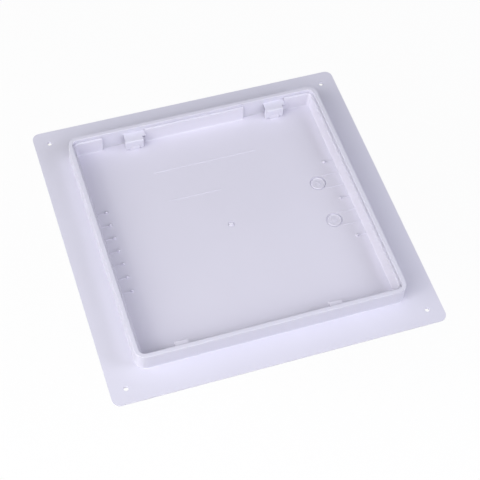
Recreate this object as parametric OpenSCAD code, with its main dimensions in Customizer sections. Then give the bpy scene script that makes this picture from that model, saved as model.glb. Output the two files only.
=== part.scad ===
// Ceiling access panel: a flanged frame with a square collar, and a hinged, latched tray door.
// It lies on its front face. X runs along the hinge side, +Y points to the hinges, +Z to the back.

/* [Frame] */
// Side of the square flange that covers the edge of the cut-out
flange_side = 308; // [290:1:400]
// Thickness of the flange
flange_t = 2.5; // [2:0.1:3.5]
// Corner radius of the flange
flange_corner_r = 7; // [4:0.5:12]
// Radius on the front edge of the flange
flange_edge_r = 1.5; // [0.5:0.1:1.9]
// Outer side of the square collar
collar_side = 251; // [240:1:260]
// Top of the collar above the front face
collar_top = 20.5; // [20:0.5:40]
// Wall thickness of the collar
collar_wall = 4; // [2.5:0.1:5]
// Inner corner radius of the collar
collar_corner_r = 6; // [6:0.5:12]
// Radius on both edges of the collar's rim
rim_r = 0.5; // [0.3:0.1:1.2]
// Fillet where the collar stands on the flange
collar_fillet_r = 0.5; // [0.3:0.1:3]

/* [Fixing holes] */
// Diameter of the corner screw holes
hole_d = 4.5; // [3:0.1:6]
// Distance from the edges of the flange to a hole's centre
hole_inset = 14.5; // [9:0.5:18]

/* [Door] */
// Gap between the door's plate and the collar, wide enough for the hinge side to turn
door_gap = 1; // [0.9:0.1:1.2]
// Thickness of the door's plate
door_t = 1.6; // [1.4:0.1:2.5]
// Top of the door's upstand above the front face
upstand_top = 17; // [12:0.5:18]
// Wall thickness of the upstand
upstand_t = 1.5; // [1.4:0.1:1.8]
// How far the foot of the upstand stands in from the plate's edge
upstand_set = 0.9; // [0.8:0.1:1.2]
// How far the upstand leans outwards at its top
upstand_lean = 1.1; // [0.6:0.1:1.2]
// How far a bead along the top of the upstand reaches towards the collar on three sides
bead_d = 0.5; // [0.2:0.1:0.5]
// Chamfer on both edges of the upstand's top
upstand_edge = 0.4; // [0.2:0.1:0.5]
// Fillet between the plate and the upstand
floor_fillet_r = 1; // [0.5:0.1:1.6]

/* [Notches in the upstand] */
// Width of the notch round a hinge
hinge_notch_w = 42; // [40:1:60]
// Width of the notch round a latch
latch_notch_w = 19; // [17:0.5:24]
// Distance from the middle of the door to the middle of a hinge notch
notch_x = 71; // [60:1:85]
// How far a hinge sits to the right of its notch's middle
hinge_shift = 8.8; // [8:0.1:10]
// How far a latch sits to the left of the middle of the hinge notch across from it
latch_shift = 12.3; // [9:0.1:14]
// How far a latch notch's middle lies to the right of its latch
latch_notch_shift = 2.1; // [0:0.1:2.2]

/* [Hinges] */
// Width of the hood that carries a hinge pin
hood_w = 17; // [14:0.1:18]
// Width of each of the hood's two cheeks
cheek_w = 3.4; // [2.5:0.1:4]
// Thickness of the hood's front wall and roof
hood_t = 1.7; // [1.4:0.1:2.2]
// Radius where the hood's front wall turns into its roof
hood_edge_r = 1.4; // [0.5:0.1:1.6]
// Top of the hood above the front face
hood_top = 14.5; // [14:0.1:18]
// Diameter of the hinge pin
pin_d = 2.6; // [2:0.1:3]
// Wall round the hinge pin
boss_wall = 1.4; // [1.2:0.1:1.6]

/* [Latches] */
// Width of a latch tongue
latch_w = 11.8; // [8:0.1:12]
// Thickness of a latch tongue
latch_t = 2.2; // [1.6:0.1:2.6]
// Top of a latch tongue above the front face
latch_top = 16; // [15:0.5:20]
// How far a latch tongue stands in from the door's edge
latch_set = 1; // [0.9:0.1:1.4]
// Depth of the thumb pad at the top of the tongue
pad_d = 3; // [2:0.1:5]
// Overlap of the latch nose on the frame's ledge
latch_bite = 0.5; // [0.3:0.1:0.7]
// How far the frame's ledge stands out of the collar
ledge_d = 1.4; // [1.2:0.1:1.6]
// Top of the frame's ledge above the front face
ledge_top = 8; // [7:0.5:10]

/* [Marks on the back of the door] */
// Pitch of the short ribs along two sides
rib_pitch = 15; // [10:0.5:20]
// Ribs on each side
rib_count = 7; // [3:2:9]
// Length of a rib that ends in a dot
rib_l = 10.1; // [5:0.1:14]
// Length of a plain rib beside the dials
long_rib_l = 18.1; // [10:0.1:20]
// Diameter of a date dial
dial_d = 16; // [12:0.5:20]
// Distance from the middle of the door to a date dial
dial_x = 94; // [80:0.5:96]

/* [Hidden] */
$fn = 64;

// Small fits and allowances
pin_seat_gap = 0.01;
pin_run_gap = 0.07;
side_gap = 0.2;
turn_gap = 0.3;
swing_gap = 0.25;
root_gap = 0.06;
// Straight part of the door's edge above its front round
edge_flat = 0.1;
// Step that the hinge pin's distance from the door's edge is rounded up to
reach_step = 0.1;
// How far a shape is carried into the one it joins or cuts
sink = 1;

// Half sides and corner radii of the square outlines that nest in each other
flange_half = flange_side / 2;
opening_half = collar_side / 2 - collar_wall;
door_half = opening_half - door_gap;
foot_half = door_half - upstand_set;
tray_half = foot_half - upstand_t;
door_corner_r = collar_corner_r - door_gap;
foot_corner_r = door_corner_r - upstand_set;
door_edge_r = door_t - edge_flat;
upstand_base = door_t / 2;
bead_h = 1.5;
hole_pos = flange_half - hole_inset;

// Hinge: the pin clears the plate, and sits far enough in for the door's edge to turn in the opening
pin_r = pin_d / 2;
boss_r = pin_r + boss_wall;
lug_r = boss_r - turn_gap;
lug_w = hood_w - 2 * cheek_w - 2 * side_gap;
axis_z = door_t + turn_gap + boss_r;
edge_drop = axis_z - door_edge_r;
edge_room = door_gap - swing_gap;
turn_reach = (edge_drop * edge_drop - edge_room * edge_room) / (2 * edge_room);
hinge_reach = door_edge_r + max(boss_r, reach_step * ceil(turn_reach / reach_step));
axis_y = door_half - hinge_reach;
hood_y = axis_y - boss_r;
roof_z = max(hood_top, axis_z + hinge_reach + turn_gap + hood_t);
hood_edge_z = roof_z - hood_edge_r;
hood_wall_z = axis_z + boss_r + turn_gap;

// Latch: its root lies in a cradle just inside the door's edge
root_r = latch_t / 2;
root_y = door_half - latch_set - root_r;
root_z = door_t + side_gap + root_r;
cradle_wall = 0.8;
nose_d = door_gap + latch_set - ledge_d + latch_bite;
nose_z = ledge_top + turn_gap;
nose_h = 4;
nose_flat = 0.8;
pad_h = 2.4;
pad_r = 0.8;
ledge_h = 2.2;
ledge_margin = 1;
ledge_w = latch_w + 2 * ledge_margin;
latch_notch_left = latch_shift - latch_notch_shift + latch_notch_w / 2;

// Marks on the plate
rib_w = 0.7;
rib_h = 0.45;
dot_every = 3;
dot_r = 1.4;
dot_h = 1.4;
dial_groove = 1.4;
dial_depth = 1;
dial_hub_r = 3;
dial_hub_depth = 0.4;
dial_rows = 1.5;
gate_r = 3.5;
gate_depth = 0.5;
gate_nub_r = 1.1;
gate_nub_h = 0.4;
// Two raised rules, each with its start, end and row on the plate
rule_w = 1;
rule_h = 0.3;
rule_start = [-52, -48];
rule_end = [49, 4];
rule_row = [78, 42];

shell_white = [0.93, 0.93, 0.95];
door_white = [0.91, 0.91, 0.94];
pin_white = [0.86, 0.86, 0.88];

// Square with rounded corners, from its half side
module rounded_plate(half, r) {
    square([2 * half, 2 * (half - r)], center = true);
    square([2 * (half - r), 2 * half], center = true);
    for (x = [-1, 1], y = [-1, 1])
        translate([x * (half - r), y * (half - r)]) circle(r);
}

// Carries a profile along some sides of a square: its x runs outwards from the side, its y upwards
module swept_sides(half, r, sides) {
    for (i = [0:sides - 1])
        rotate(90 * i) translate([half, half - r, 0]) rotate([90, 0, 0])
            linear_extrude(2 * (half - r)) children();
}

// Carries a profile round a square with rounded corners
module swept_ring(half, r) {
    swept_sides(half, r, 4) children();
    for (i = [0:3])
        rotate(90 * i) translate([half - r, half - r, 0])
            rotate_extrude(angle = 90) translate([r, 0]) children();
}

// Extrudes a profile drawn in Y and Z along X, centred on x
module across(x, w) {
    translate([x - w / 2, 0, 0]) rotate([90, 0, 90]) linear_extrude(w) children();
}

module rod(x, w, r) {
    translate([x - w / 2, axis_y, axis_z]) rotate([0, 90, 0]) cylinder(h = w, r = r);
}

// Wall profile from x = 0 outwards, with both top edges rounded
module wall_profile(w, bottom, top, edge_r) {
    translate([0, bottom]) square([w, top - edge_r - bottom]);
    translate([edge_r, bottom]) square([w - 2 * edge_r, top - bottom]);
    for (x = [edge_r, w - edge_r])
        translate([x, top - edge_r]) circle(edge_r);
}

// Leaning profile of the door's upstand from its foot, with both top edges chamfered
module upstand_profile() {
    edge_z = upstand_top - upstand_edge;
    polygon([[-upstand_t, upstand_base], [0, upstand_base], [upstand_lean, edge_z],
        [upstand_lean - upstand_edge, upstand_top], [upstand_lean - upstand_t + upstand_edge, upstand_top],
        [upstand_lean - upstand_t, edge_z]]);
}

// Bead along the top of the upstand, sloped below
module bead_profile() {
    inner = upstand_lean - upstand_edge;
    outer = upstand_lean + bead_d;
    bottom = upstand_top - bead_h;
    polygon([[inner, bottom - bead_d], [outer, bottom], [outer, upstand_top], [inner, upstand_top]]);
}

module fillet_profile(r) {
    difference() {
        translate([-sink / 2, -sink / 2]) square(r + sink / 2);
        translate([r, r]) circle(r);
    }
}

// Plate of height t whose front edge is a quarter round
module edged_plate(half, r, t, edge_r) {
    linear_extrude(t) rounded_plate(half - edge_r, r - edge_r);
    swept_ring(half, r) translate([-edge_r, 0]) {
        translate([0, edge_r]) square([edge_r, t - edge_r]);
        intersection() {
            translate([0, edge_r]) circle(edge_r);
            square(edge_r);
        }
    }
}

// Hood on the frame: a flat roof, a front wall and two cheeks that end in the pin's bosses
module hinge_hood(x) {
    difference() {
        union() {
            across(x, hood_w) {
                translate([hood_y + hood_edge_r, roof_z - hood_t])
                    square([opening_half + sink - hood_y - hood_edge_r, hood_t]);
                translate([hood_y + hood_edge_r, hood_edge_z]) circle(hood_edge_r);
                translate([hood_y, hood_wall_z]) square([hood_t, hood_edge_z - hood_wall_z]);
            }
            for (side = [-1, 1])
                across(x + side * (hood_w - cheek_w) / 2, cheek_w) {
                    translate([hood_y, axis_z]) square([2 * boss_r, hood_edge_z - axis_z]);
                    translate([axis_y, axis_z]) circle(boss_r);
                }
        }
        rod(x, hood_w + 2 * sink, pin_r + pin_seat_gap);
    }
}

// Lug on the door that turns on the pin between the hood's cheeks
module hinge_lug(x) {
    difference() {
        across(x, lug_w) {
            translate([axis_y, axis_z]) circle(lug_r);
            translate([axis_y - lug_r, door_t / 2]) square([2 * lug_r, axis_z - door_t / 2]);
        }
        rod(x, lug_w + 2 * sink, pin_r + pin_run_gap);
    }
}

// Ledge on the frame that the latch nose snaps over, sloped below so that the nose slides up
module latch_ledge(x) {
    across(x, ledge_w)
        polygon([[-opening_half - sink, ledge_top - ledge_h], [-opening_half, ledge_top - ledge_h],
            [-opening_half + ledge_d, ledge_top - ledge_h + ledge_d], [-opening_half + ledge_d, ledge_top],
            [-opening_half - sink, ledge_top]]);
}

// Cradle on the door for the round root of a latch tongue
module latch_cradle(x) {
    bed_r = root_r + root_gap;
    across(x, latch_w)
        difference() {
            translate([-root_y - bed_r, door_t / 2]) square([2 * bed_r + cradle_wall, root_z - door_t / 2]);
            translate([-root_y, root_z]) circle(bed_r);
        }
}

module latch_tongue(x) {
    color(door_white) {
        across(x, latch_w) {
            translate([-root_y, root_z]) circle(root_r);
            translate([-root_y - root_r, root_z]) square([latch_t, latch_top - root_z]);
        }
        across(x, latch_w)
            polygon([[-root_y, nose_z], [-root_y - root_r - nose_d, nose_z],
                [-root_y - root_r - nose_d, nose_z + nose_flat], [-root_y, nose_z + nose_h]]);
        across(x, latch_w) translate([-root_y, latch_top - pad_h]) {
            square([root_r + pad_d - pad_r, pad_h]);
            translate([0, pad_r]) square([root_r + pad_d, pad_h - 2 * pad_r]);
            for (z = [pad_r, pad_h - pad_r])
                translate([root_r + pad_d - pad_r, z]) circle(pad_r);
        }
    }
}

module rib(side, y, l) {
    translate([side * (tray_half + sink / 2 - l / 2), y, door_t + (rib_h - sink) / 2])
        cube([l + sink, rib_w, rib_h + sink], center = true);
}

// Ribs along one side, each ending in a dot, or long and plain beside the dials
module side_ribs(side, beside_dials) {
    first = -(rib_count - 1) / 2;
    for (i = [first:-first])
        if (beside_dials && abs(i) % dot_every != 0) {
            rib(side, i * rib_pitch, long_rib_l);
        } else {
            rib(side, i * rib_pitch, rib_l);
            translate([side * (tray_half - rib_l), i * rib_pitch, door_t - sink])
                cylinder(h = dot_h + sink, r = dot_r);
        }
}

module dial_cut(y) {
    translate([dial_x, y, door_t - dial_depth]) difference() {
        cylinder(h = dial_depth + sink, r = dial_d / 2);
        translate([0, 0, -sink]) cylinder(h = dial_depth + 3 * sink, r = dial_d / 2 - dial_groove);
    }
    translate([dial_x, y, door_t - dial_hub_depth]) cylinder(h = dial_hub_depth + sink, r = dial_hub_r);
}

// Plate of the door with its upstand and the marks on its back
module tray() {
    difference() {
        edged_plate(door_half, door_corner_r, door_t, door_edge_r);
        for (side = [-1, 1])
            dial_cut(side * dial_rows * rib_pitch);
        translate([0, 0, door_t - gate_depth]) cylinder(h = gate_depth + sink, r = gate_r);
    }
    translate([0, 0, door_t - gate_depth - sink / 2])
        cylinder(h = gate_depth + gate_nub_h + sink / 2, r = gate_nub_r);
    difference() {
        union() {
            swept_ring(foot_half, foot_corner_r) upstand_profile();
            swept_sides(foot_half, foot_corner_r, 3) bead_profile();
            swept_ring(foot_half, foot_corner_r)
                translate([-upstand_t, door_t]) mirror([1, 0]) fillet_profile(floor_fillet_r);
        }
        for (side = [-1, 1]) {
            translate([side * notch_x - hinge_notch_w / 2, 0, door_t])
                cube([hinge_notch_w, flange_half, upstand_top]);
            translate([side * notch_x - latch_notch_left, -flange_half, door_t])
                cube([latch_notch_w, flange_half, upstand_top]);
        }
    }
    side_ribs(-1, false);
    side_ribs(1, true);
    for (i = [0:len(rule_row) - 1])
        translate([rule_start[i], rule_row[i] - rule_w / 2, door_t - sink])
            cube([rule_end[i] - rule_start[i], rule_w, rule_h + sink]);
}

module frame() {
    color(shell_white) {
        difference() {
            edged_plate(flange_half, flange_corner_r, flange_t, flange_edge_r);
            translate([0, 0, -sink]) linear_extrude(flange_t + 2 * sink)
                rounded_plate(opening_half + collar_wall / 2, collar_corner_r + collar_wall / 2);
            for (x = [-1, 1], y = [-1, 1])
                translate([x * hole_pos, y * hole_pos, -sink]) cylinder(h = flange_t + 2 * sink, d = hole_d);
        }
        swept_ring(opening_half, collar_corner_r) {
            wall_profile(collar_wall, 0, collar_top, rim_r);
            translate([collar_wall, flange_t]) fillet_profile(collar_fillet_r);
        }
        for (side = [-1, 1]) {
            hinge_hood(side * notch_x + hinge_shift);
            latch_ledge(side * notch_x - latch_shift);
        }
    }
}

module door() {
    color(door_white) {
        tray();
        for (side = [-1, 1]) {
            hinge_lug(side * notch_x + hinge_shift);
            latch_cradle(side * notch_x - latch_shift);
        }
    }
}

module hinge_pin(x) {
    color(pin_white) rod(x, hood_w - side_gap, pin_r);
}

module hinge_pin_left() { hinge_pin(-notch_x + hinge_shift); }
module hinge_pin_right() { hinge_pin(notch_x + hinge_shift); }
module latch_tongue_left() { latch_tongue(-notch_x - latch_shift); }
module latch_tongue_right() { latch_tongue(notch_x - latch_shift); }

frame();
door();
hinge_pin_left();
hinge_pin_right();
latch_tongue_left();
latch_tongue_right();
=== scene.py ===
import math

import bmesh
import bpy
from mathutils import Matrix, Vector


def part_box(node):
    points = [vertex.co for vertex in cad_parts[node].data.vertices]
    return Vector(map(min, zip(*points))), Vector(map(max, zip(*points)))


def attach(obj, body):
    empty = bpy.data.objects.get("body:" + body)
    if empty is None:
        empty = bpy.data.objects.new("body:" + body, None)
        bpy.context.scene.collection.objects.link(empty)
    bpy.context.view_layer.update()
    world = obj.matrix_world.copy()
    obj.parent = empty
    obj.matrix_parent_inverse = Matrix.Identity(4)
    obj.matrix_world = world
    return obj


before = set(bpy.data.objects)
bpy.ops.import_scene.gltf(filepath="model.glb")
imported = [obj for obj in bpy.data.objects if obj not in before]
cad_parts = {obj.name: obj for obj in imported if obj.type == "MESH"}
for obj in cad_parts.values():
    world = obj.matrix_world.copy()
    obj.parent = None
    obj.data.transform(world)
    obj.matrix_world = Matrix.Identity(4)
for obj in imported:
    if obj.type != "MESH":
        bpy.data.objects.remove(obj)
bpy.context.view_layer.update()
print("frame loaded:", sorted(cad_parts))

# Shared surface effect: fine moulding grain, and slow clouds over a whole moulding
mouldedNoise = {
    "Grain": {"scale": 1500.0, "detail": 3.0},
    "Cloud": {"scale": 14.0, "detail": 2.0},
}


def makeMouldedSkin():
    group = bpy.data.node_groups.new("mouldedSkin", "ShaderNodeTree")
    for name, noise in mouldedNoise.items():
        socket = group.interface.new_socket(name + " Scale", in_out="INPUT", socket_type="NodeSocketFloat")
        socket.default_value = noise["scale"]
        group.interface.new_socket(name, in_out="OUTPUT", socket_type="NodeSocketFloat")
    nodes, links = group.nodes, group.links
    entry = nodes.new("NodeGroupInput")
    leave = nodes.new("NodeGroupOutput")
    coords = nodes.new("ShaderNodeTexCoord")
    for name, noise in mouldedNoise.items():
        texture = nodes.new("ShaderNodeTexNoise")
        texture.inputs["Detail"].default_value = noise["detail"]
        links.new(coords.outputs["Object"], texture.inputs["Vector"])
        links.new(entry.outputs[name + " Scale"], texture.inputs["Scale"])
        links.new(texture.outputs["Fac"], leave.inputs[name])
    return group


mouldedSkin = makeMouldedSkin()

# Plastics: each has the tints and roughness of its dull and its clear clouds
plasticIor = 1.52
framePlastic = {
    "name": "framePlastic",
    "tints": ((0.655, 0.646, 0.745, 1), (0.675, 0.666, 0.765, 1)),
    "roughness": (0.30, 0.38),
    "grain": 1400.0,
    "grainDepth": 0.00002,
}
doorPlastic = {
    "name": "doorPlastic",
    "tints": ((0.656, 0.641, 0.736, 1), (0.678, 0.663, 0.758, 1)),
    "roughness": (0.40, 0.50),
    "grain": 1800.0,
    "grainDepth": 0.00003,
}
pinPlastic = {
    "name": "pinPlastic",
    "tints": ((0.60, 0.60, 0.66, 1), (0.64, 0.64, 0.70, 1)),
    "roughness": (0.28, 0.34),
    "grain": 2500.0,
    "grainDepth": 0.00001,
}


def makePlastic(look):
    material = bpy.data.materials.new(look["name"])
    material.use_nodes = True
    nodes, links = material.node_tree.nodes, material.node_tree.links
    shader = nodes["Principled BSDF"]
    shader.inputs["IOR"].default_value = plasticIor
    skin = nodes.new("ShaderNodeGroup")
    skin.node_tree = mouldedSkin
    skin.inputs["Grain Scale"].default_value = look["grain"]
    tint = nodes.new("ShaderNodeMix")
    tint.data_type = "RGBA"
    tint.inputs["A"].default_value, tint.inputs["B"].default_value = look["tints"]
    links.new(skin.outputs["Cloud"], tint.inputs["Factor"])
    links.new(tint.outputs["Result"], shader.inputs["Base Color"])
    gloss = nodes.new("ShaderNodeMapRange")
    gloss.inputs["To Min"].default_value, gloss.inputs["To Max"].default_value = look["roughness"]
    links.new(skin.outputs["Cloud"], gloss.inputs["Value"])
    links.new(gloss.outputs["Result"], shader.inputs["Roughness"])
    bump = nodes.new("ShaderNodeBump")
    bump.inputs["Distance"].default_value = look["grainDepth"]
    links.new(skin.outputs["Grain"], bump.inputs["Height"])
    links.new(bump.outputs["Normal"], shader.inputs["Normal"])
    return material


plastics = {look["name"]: makePlastic(look) for look in (framePlastic, doorPlastic, pinPlastic)}
nodeFinish = {
    "frame": "framePlastic",
    "door": "doorPlastic",
    "latch_tongue_left": "doorPlastic",
    "latch_tongue_right": "doorPlastic",
    "hinge_pin_left": "pinPlastic",
    "hinge_pin_right": "pinPlastic",
}
for name, finish in nodeFinish.items():
    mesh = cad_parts[name].data
    mesh.materials.clear()
    mesh.materials.append(plastics[finish])
print("plastics on", len(nodeFinish), "nodes")

# Used by all the small forms below
bevelSegments = 3
fullTurn = 2 * math.pi


def meshObject(name, shape, finish, body):
    mesh = bpy.data.meshes.new(name)
    shape.to_mesh(mesh)
    shape.free()
    mesh.materials.append(plastics[finish])
    piece = bpy.data.objects.new(name, mesh)
    bpy.context.collection.objects.link(piece)
    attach(piece, body)


def bevelEdges(shape, edges, width):
    bmesh.ops.bevel(
        shape, geom=edges, offset=width, affect="EDGES", segments=bevelSegments, profile=0.5, material=-1)


# The section is a ring of radii and heights, and starts on the right (1) or left (-1) of the centre
def spinSection(shape, centre, section, side, turn, steps):
    verts = [shape.verts.new((centre[0] + side * radius, centre[1], height)) for radius, height in section]
    edges = [shape.edges.new(pair) for pair in zip(verts, verts[1:] + verts[:1])]
    bmesh.ops.spin(
        shape, geom=verts + edges, cent=(*centre, 0), axis=(0, 0, 1), angle=turn, steps=steps,
        use_merge=turn == fullTurn)


# Date dials: a rounded rim in the groove, and twelve raised numbers round a hub with an arrow
dateDial = {
    "centres": {"dateDialFar": (0.094, 0.0225), "dateDialNear": (0.094, -0.0225)},
    "floor": 0.0016,  # back of the door's plate
    "rim": (  # radius and height round the section
        (0.0070, 0.0006), (0.0069, 0.0012), (0.0063, 0.0019), (0.0060, 0.0019), (0.0054, 0.0015),
        (0.0054, 0.0006)),
    "rimSteps": 72,
    "months": 12,
    "numberRadius": 0.0042,
    "numberSize": 0.0014,
    "numberRaise": 0.00012,
    "numberSteps": 2,
    "hubRadius": 0.0027,
    "hubBottom": 0.0012,
    "hubTop": 0.0015,
    "hubBevel": 0.0002,
    "hubSegments": 48,
    "arrowLength": 0.0042,
    "arrowWidth": 0.0016,
    "arrowStem": 1 / 3,  # share of the arrow's width
    "arrowRaise": 0.0004,
    "arrowTurn": {"dateDialFar": 40.0, "dateDialNear": 165.0},
}


def addNumber(shape, text, place, look):
    curve = bpy.data.curves.new("number", "FONT")
    curve.body = text
    curve.align_x = "CENTER"
    curve.align_y = "CENTER"
    curve.size = look["numberSize"]
    curve.extrude = look["numberRaise"]
    curve.resolution_u = look["numberSteps"]
    holder = bpy.data.objects.new("number", curve)
    bpy.context.collection.objects.link(holder)
    flat = bpy.data.meshes.new_from_object(holder.evaluated_get(bpy.context.evaluated_depsgraph_get()))
    flat.transform(place)
    shape.from_mesh(flat)
    bpy.data.objects.remove(holder)
    bpy.data.curves.remove(curve)
    bpy.data.meshes.remove(flat)


def addHub(shape, centre, look):
    height = look["hubTop"] - look["hubBottom"]
    middle = (look["hubTop"] + look["hubBottom"]) / 2
    bmesh.ops.create_cone(
        shape, cap_ends=True, segments=look["hubSegments"], radius1=look["hubRadius"],
        radius2=look["hubRadius"], depth=height, matrix=Matrix.Translation((*centre, middle)))
    bevelEdges(shape, [e for e in shape.edges if all(v.co.z > middle for v in e.verts)], look["hubBevel"])


def addArrow(shape, centre, look, turn):
    half, wide = look["arrowLength"] / 2, look["arrowWidth"] / 2
    stem = wide * look["arrowStem"]
    outline = ((-stem, -half), (stem, -half), (stem, 0), (wide, 0), (0, half), (-wide, 0), (-stem, 0))
    verts = [shape.verts.new((x, y, 0)) for x, y in outline]
    face = shape.faces.new(verts)
    raised = bmesh.ops.extrude_face_region(shape, geom=[face])
    topVerts = [v for v in raised["geom"] if isinstance(v, bmesh.types.BMVert)]
    bmesh.ops.translate(shape, verts=topVerts, vec=(0, 0, look["arrowRaise"]))
    place = Matrix.Translation((*centre, look["hubTop"])) @ Matrix.Rotation(math.radians(turn), 4, "Z")
    bmesh.ops.transform(shape, matrix=place, verts=verts + topVerts)


def makeDateDial(name, centre, look):
    shape = bmesh.new()
    addHub(shape, centre, look)
    addArrow(shape, centre, look, look["arrowTurn"][name])
    spinSection(shape, centre, look["rim"], 1, fullTurn, look["rimSteps"])
    spot = Matrix.Translation((0, look["numberRadius"], 0))
    for month in range(1, look["months"] + 1):
        turn = Matrix.Rotation(-month * fullTurn / look["months"], 4, "Z")
        place = Matrix.Translation((*centre, look["floor"])) @ turn @ spot
        addNumber(shape, str(month), place, look)
    bmesh.ops.recalc_face_normals(shape, faces=shape.faces)
    meshObject(name, shape, "doorPlastic", "door")


for name, centre in dateDial["centres"].items():
    makeDateDial(name, centre, dateDial)
print("date dials made")

# Rounded tops on the dots at the ends of the short ribs
dotTops = {
    "radius": 0.0014,
    "height": 0.0007,
    "base": 0.0030,  # flat top of a dot
    "column": 0.108,
    "pitch": 0.015,
    "rows": {-1: range(-3, 4), 1: (-3, 0, 3)},  # side of the door and its rows
    "segments": 24,
    "rings": 12,
}


def makeDotTops(look):
    shape = bmesh.new()
    flatten = Matrix.Diagonal((1, 1, look["height"] / look["radius"], 1))
    for side, rows in look["rows"].items():
        for row in rows:
            place = Matrix.Translation((side * look["column"], row * look["pitch"], look["base"]))
            bmesh.ops.create_uvsphere(
                shape, u_segments=look["segments"], v_segments=look["rings"], radius=look["radius"],
                matrix=place @ flatten)
    for face in shape.faces:
        face.smooth = True
    meshObject("ribDotTops", shape, "doorPlastic", "door")


makeDotTops(dotTops)
print("dot tops made")

# Stump left on the nub in the middle of the door where the moulding was fed
gateStump = {
    "bottom": 0.0012,
    "top": 0.0025,
    "bottomRadius": 0.0022,
    "topRadius": 0.0015,
    "segments": 40,
    "cut": 5.0,  # slope of the broken top, in degrees
    "bevel": 0.0002,
}


def makeGateStump(look):
    shape = bmesh.new()
    height = look["top"] - look["bottom"]
    middle = look["bottom"] + height / 2
    bmesh.ops.create_cone(
        shape, cap_ends=True, segments=look["segments"], radius1=look["bottomRadius"],
        radius2=look["topRadius"], depth=height, matrix=Matrix.Translation((0, 0, middle)))
    topVerts = [v for v in shape.verts if v.co.z > middle]
    slope = math.tan(math.radians(look["cut"]))
    for vert in topVerts:
        vert.co.z += (vert.co.x + vert.co.y) * slope
    bevelEdges(shape, [e for e in shape.edges if all(v in topVerts for v in e.verts)], look["bevel"])
    meshObject("gateStump", shape, "doorPlastic", "door")


makeGateStump(gateStump)
print("gate stump made")

# Bead along the top of the upstand, carried round its corners; the near ones clear the collar as they swing
beadCorners = {
    "centre": 0.1155,  # of a corner's round, along both sides
    "inner": 0.0048,
    "reach": {1: 0.0057, -1: 0.0054},  # far and near corners
    "slopeBottom": 0.0150,
    "bottom": 0.0155,
    "top": 0.0169,
    "steps": 16,
}


def makeBeadCorners(look):
    shape = bmesh.new()
    for sideX in (-1, 1):
        for sideY, reach in look["reach"].items():
            centre = (sideX * look["centre"], sideY * look["centre"])
            section = (
                (look["inner"], look["slopeBottom"]), (reach, look["bottom"]), (reach, look["top"]),
                (look["inner"], look["top"]))
            spinSection(shape, centre, section, sideX, sideX * sideY * fullTurn / 4, look["steps"])
    bmesh.ops.holes_fill(shape, edges=[e for e in shape.edges if e.is_boundary], sides=0)
    bmesh.ops.recalc_face_normals(shape, faces=shape.faces)
    meshObject("beadCorners", shape, "doorPlastic", "door")


makeBeadCorners(beadCorners)
print("bead corners made")

# Beside each hood: a ledge that carries its roof on to the end of the notch, and a step in that end
hoodLedges = {
    "start": -0.0002,  # from the pin's right end, just inside the cheek
    "length": 0.0038,
    "front": 0.1151,
    "back": 0.1217,
    "bottom": 0.0129,  # clear of the door's edge as it turns
    "top": 0.01445,
    "bevel": 0.0003,
}
notchSteps = {
    "start": 0.0005,
    "length": 0.0036,
    "front": 0.1185,
    "back": 0.1196,
    "bottom": 0.0013,
    "top": 0.0074,  # passes under the ledge as the door turns
    "bevel": 0.0003,
}
pinEnds = [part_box(pin)[1].x for pin in ("hinge_pin_left", "hinge_pin_right")]


def makeBlocks(look):
    shape = bmesh.new()
    for pinEnd in pinEnds:
        low = Vector((pinEnd + look["start"], look["front"], look["bottom"]))
        high = Vector((low.x + look["length"], look["back"], look["top"]))
        place = Matrix.Translation((low + high) / 2) @ Matrix.Diagonal((*(high - low), 1))
        bmesh.ops.create_cube(shape, size=1, matrix=place)
    bevelEdges(shape, shape.edges[:], look["bevel"])
    return shape


meshObject("hoodLedges", makeBlocks(hoodLedges), "framePlastic", "frame")
meshObject("notchSteps", makeBlocks(notchSteps), "doorPlastic", "door")
print("hood ledges and notch steps made")

# Studio: a pale floor well below the panel, so that the door can swing down
studio = {
    "floorDrop": 0.25,
    "floorSize": 8.0,
    "floorColour": (0.93, 0.93, 0.94, 1),
    "floorGlow": 0.94,  # share of plain white that the camera sees in the floor
    "domeColour": (1.0, 1.0, 1.0, 1),
    "dome": 0.03,
    "domeSeen": 1.0,  # strength that the camera and reflections see
    "lampDistance": 1.8,
}
warmLight = (1.0, 0.99, 0.94)
coolLight = (0.91, 0.92, 1.0)
softboxes = {
    "keySide": {"from": (-1.0, -0.1, 0.45), "size": 1.2, "power": 15.1, "tint": warmLight},
    "keyLeft": {"from": (-0.85, -0.50, 0.62), "size": 1.2, "power": 10.2, "tint": warmLight},
    "keyHigh": {"from": (-0.7, -0.42, 1.0), "size": 1.2, "power": 8.8, "tint": coolLight},
    "fillLow": {"from": (0.0, -1.0, 0.45), "size": 0.9, "power": 5.3, "tint": warmLight},
    "fillFront": {"from": (0.0, -0.8, 1.0), "size": 0.9, "power": 3.3, "tint": coolLight},
    "fillRight": {"from": (0.87, -0.45, 0.60), "size": 0.9, "power": 15.0, "tint": coolLight},
    "overhead": {"from": (0.0, 0.0, 1.0), "size": 1.2, "power": 4.6, "tint": coolLight},
}


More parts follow.
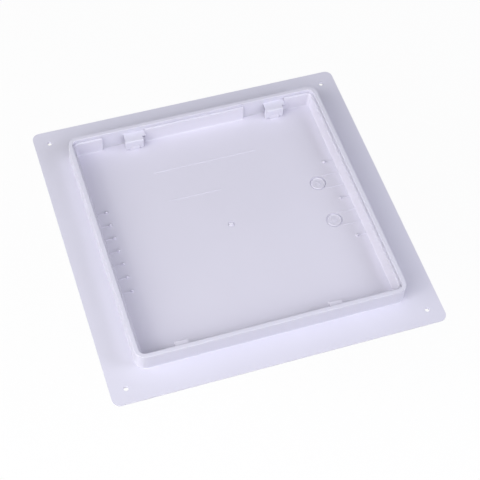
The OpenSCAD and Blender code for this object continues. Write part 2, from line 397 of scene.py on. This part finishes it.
def makeFloorPaper():
    material = bpy.data.materials.new("floorPaper")
    material.use_nodes = True
    nodes, links = material.node_tree.nodes, material.node_tree.links
    nodes.remove(nodes["Principled BSDF"])
    paper = nodes.new("ShaderNodeBsdfDiffuse")
    paper.inputs["Color"].default_value = studio["floorColour"]
    glow = nodes.new("ShaderNodeEmission")
    path = nodes.new("ShaderNodeLightPath")
    share = nodes.new("ShaderNodeMath")
    share.operation = "MULTIPLY"
    share.inputs[1].default_value = studio["floorGlow"]
    links.new(path.outputs["Is Camera Ray"], share.inputs[0])
    lit = nodes.new("ShaderNodeMixShader")
    links.new(share.outputs[0], lit.inputs["Fac"])
    links.new(paper.outputs[0], lit.inputs[1])
    links.new(glow.outputs[0], lit.inputs[2])
    side = nodes.new("ShaderNodeNewGeometry")
    clear = nodes.new("ShaderNodeBsdfTransparent")
    facing = nodes.new("ShaderNodeMixShader")  # seen from below the floor is clear
    links.new(side.outputs["Backfacing"], facing.inputs["Fac"])
    links.new(lit.outputs[0], facing.inputs[1])
    links.new(clear.outputs[0], facing.inputs[2])
    links.new(facing.outputs[0], nodes["Material Output"].inputs["Surface"])
    return material


def makeFloor():
    shape = bmesh.new()
    bmesh.ops.create_grid(
        shape, x_segments=1, y_segments=1, size=studio["floorSize"] / 2,
        matrix=Matrix.Translation((0, 0, -studio["floorDrop"])))
    mesh = bpy.data.meshes.new("studioFloor")
    shape.to_mesh(mesh)
    shape.free()
    mesh.materials.append(makeFloorPaper())
    floor = bpy.data.objects.new("studioFloor", mesh)
    bpy.context.collection.objects.link(floor)


def makeWorld():
    world = bpy.data.worlds.new("studioDome")
    bpy.context.scene.world = world
    world.use_nodes = True
    nodes, links = world.node_tree.nodes, world.node_tree.links
    dome = nodes["Background"]
    dome.inputs["Color"].default_value = studio["domeColour"]
    path = nodes.new("ShaderNodeLightPath")
    direct = nodes.new("ShaderNodeMath")
    direct.operation = "MAXIMUM"
    links.new(path.outputs["Is Camera Ray"], direct.inputs[0])
    links.new(path.outputs["Is Transmission Ray"], direct.inputs[1])
    seen = nodes.new("ShaderNodeMath")
    seen.operation = "MAXIMUM"
    links.new(direct.outputs[0], seen.inputs[0])
    links.new(path.outputs["Is Glossy Ray"], seen.inputs[1])
    strength = nodes.new("ShaderNodeMapRange")
    strength.inputs["To Min"].default_value = studio["dome"]
    strength.inputs["To Max"].default_value = studio["domeSeen"]
    links.new(seen.outputs[0], strength.inputs["Value"])
    links.new(strength.outputs["Result"], dome.inputs["Strength"])


def makeSoftbox(name, lamp):
    light = bpy.data.lights.new(name, "AREA")
    light.shape = "SQUARE"
    light.size = lamp["size"]
    light.energy = lamp["power"]
    light.color = lamp["tint"]
    holder = bpy.data.objects.new(name, light)
    bpy.context.collection.objects.link(holder)
    direction = Vector(lamp["from"]).normalized()
    holder.location = direction * studio["lampDistance"]
    holder.rotation_euler = direction.to_track_quat("Z", "Y").to_euler()


makeFloor()
makeWorld()
for name, lamp in softboxes.items():
    makeSoftbox(name, lamp)

# Camera, solved from the corners of the flange in the photograph
photoCamera = {
    "position": (-0.25856, -0.68186, 1.01759),
    "azimuth": 21.468,
    "elevation": 54.981,
    "roll": 4.186,
    "lens": 100.8,
}


def makeCamera():
    az, el, roll = (math.radians(photoCamera[k]) for k in ("azimuth", "elevation", "roll"))
    level = Vector((math.cos(az), -math.sin(az), 0))
    upright = Vector((math.sin(el) * math.sin(az), math.sin(el) * math.cos(az), math.cos(el)))
    right = level * math.cos(roll) + upright * math.sin(roll)
    up = upright * math.cos(roll) - level * math.sin(roll)
    turned = Matrix((right, up, right.cross(up))).transposed().to_4x4()
    data = bpy.data.cameras.new("photoCamera")
    data.lens = photoCamera["lens"]
    camera = bpy.data.objects.new("photoCamera", data)
    camera.matrix_world = Matrix.Translation(photoCamera["position"]) @ turned
    bpy.context.collection.objects.link(camera)
    bpy.context.scene.camera = camera


makeCamera()
bpy.context.scene.view_settings.view_transform = "Standard"
print("studio and camera ready")
